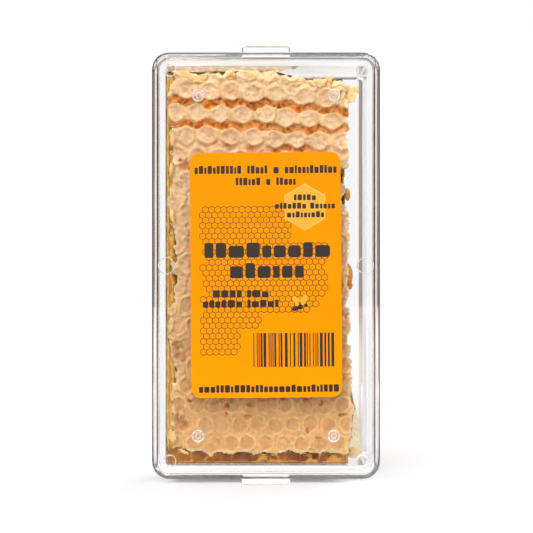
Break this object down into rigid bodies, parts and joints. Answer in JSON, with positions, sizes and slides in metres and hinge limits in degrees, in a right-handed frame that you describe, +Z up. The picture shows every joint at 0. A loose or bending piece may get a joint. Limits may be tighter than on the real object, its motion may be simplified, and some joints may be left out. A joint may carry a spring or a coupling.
{
  "type": "boxed cut honeycomb",
  "caption": "Slab of cut honeycomb with wax-capped cells, shut in a clear two-part box with pull tabs and an orange front label, standing upright.",
  "frame": {"origin": "on the table, below the middle of the box", "axes": "+Z up along the box's height, -Y out of the lid's labelled face, +X to the right as the label is faced"},
  "size_m": [0.0714, 0.0384, 0.1374],
  "materials": {
    "capped_comb": "pale beeswax cappings over amber honey, waxy with wet seams",
    "clear_base": "clear rigid plastic, glossy",
    "clear_lid": "clear rigid plastic, glossy",
    "label_paper": "satin coated paper, printed orange"
  },
  "bodies": {
    "root": {"honeycomb": "capped_comb", "box_base": "clear_base", "box_lid": "clear_lid", "label": "label_paper"}
  },
  "joints": []
}
